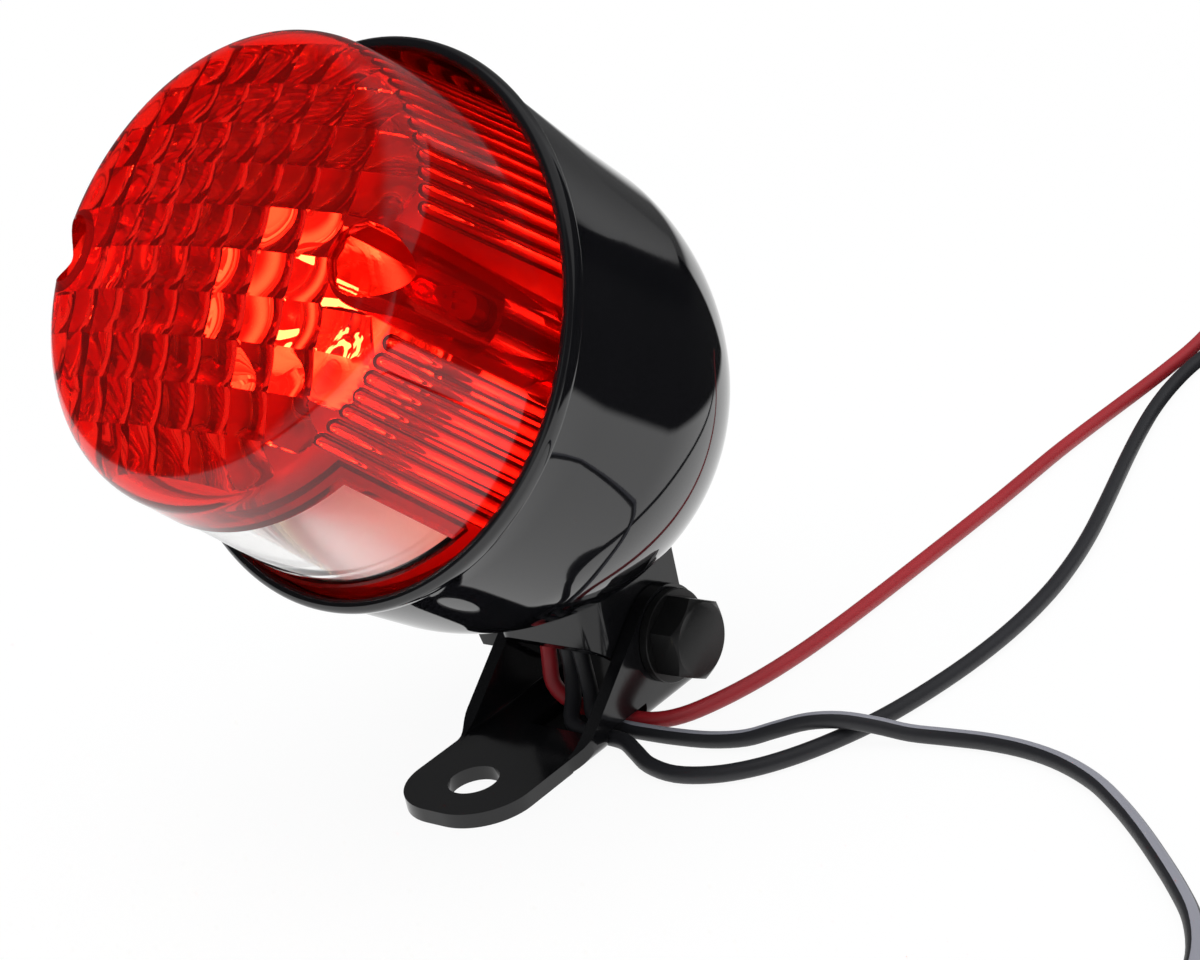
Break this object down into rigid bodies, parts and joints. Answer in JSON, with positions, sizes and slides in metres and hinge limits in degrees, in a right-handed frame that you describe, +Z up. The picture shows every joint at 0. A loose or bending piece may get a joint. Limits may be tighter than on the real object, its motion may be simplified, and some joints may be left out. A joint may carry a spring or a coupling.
{
  "type": "motorcycle tail light",
  "caption": "Round domed tail light with a red lens, a clear plate window, a lit bayonet bulb and bare-ended leads, tilting on a bolted foot.",
  "frame": {"origin": "middle of the bolt hole in the foot's front tab, on the foot's underside", "axes": "+Z up and square to the foot, -Y towards the lens side, +X towards the side that the tilt bolt's head is on"},
  "size_m": [0.1738, 0.2784, 0.1265],
  "materials": {
    "black_enamel": "high gloss black enamel",
    "satin_black": "semi-gloss black paint on folded steel",
    "blackened_steel": "satin black zinc",
    "zinc_steel": "bright zinc plate",
    "reflector_chrome": "bright pressed reflector",
    "red_lens": "polished transparent red acrylic with moulded pillow optics",
    "clear_lens": "polished clear acrylic",
    "bulb_glass": "clear blown glass",
    "filament_glow": "glowing tungsten",
    "brass": "plain brass",
    "brown_insulation": "pressed insulating board",
    "black_rubber": "soft black rubber",
    "black_insulation": "black wire insulation",
    "red_insulation": "red wire insulation"
  },
  "bodies": {
    "foot": {"foot_bracket": "satin_black", "tilt_bolt": "blackened_steel", "tilt_washers": "blackened_steel", "spring_washer": "blackened_steel", "tilt_nut": "blackened_steel", "lead_drops": "black_insulation", "red_lead": "red_insulation", "black_lead": "black_insulation", "grey_stripe_lead": "black_insulation"},
    "lamp_head": {"housing": "black_enamel", "housing_leg": "black_enamel", "cross_strap": "zinc_steel", "reflector_plate": "reflector_chrome", "plate_screws": "zinc_steel", "plate_nuts": "zinc_steel", "lens_gasket": "black_rubber", "red_lens": "red_lens", "plate_window": "clear_lens", "lens_screws": "zinc_steel", "screw_seals": "black_rubber", "bulb_socket": "zinc_steel", "contact_spring": "zinc_steel", "contact_disc": "brown_insulation", "contacts": "brass", "bulb_cap": "brass", "bulb_glass": "bulb_glass", "filament_mount": "bulb_glass", "filaments": "filament_glow", "earth_eyelet": "brass", "inner_leads": "red_insulation", "cable_grommet": "black_rubber"}
  },
  "joints": [
    {"name": "head_tilt", "type": "hinge", "parent": "foot", "child": "lamp_head", "pos_m": [0, 0.0378, 0.0117], "axis": [1, 0, 0], "range_deg": [-25, 25], "deforming": ["lead_drops"]}
  ]
}
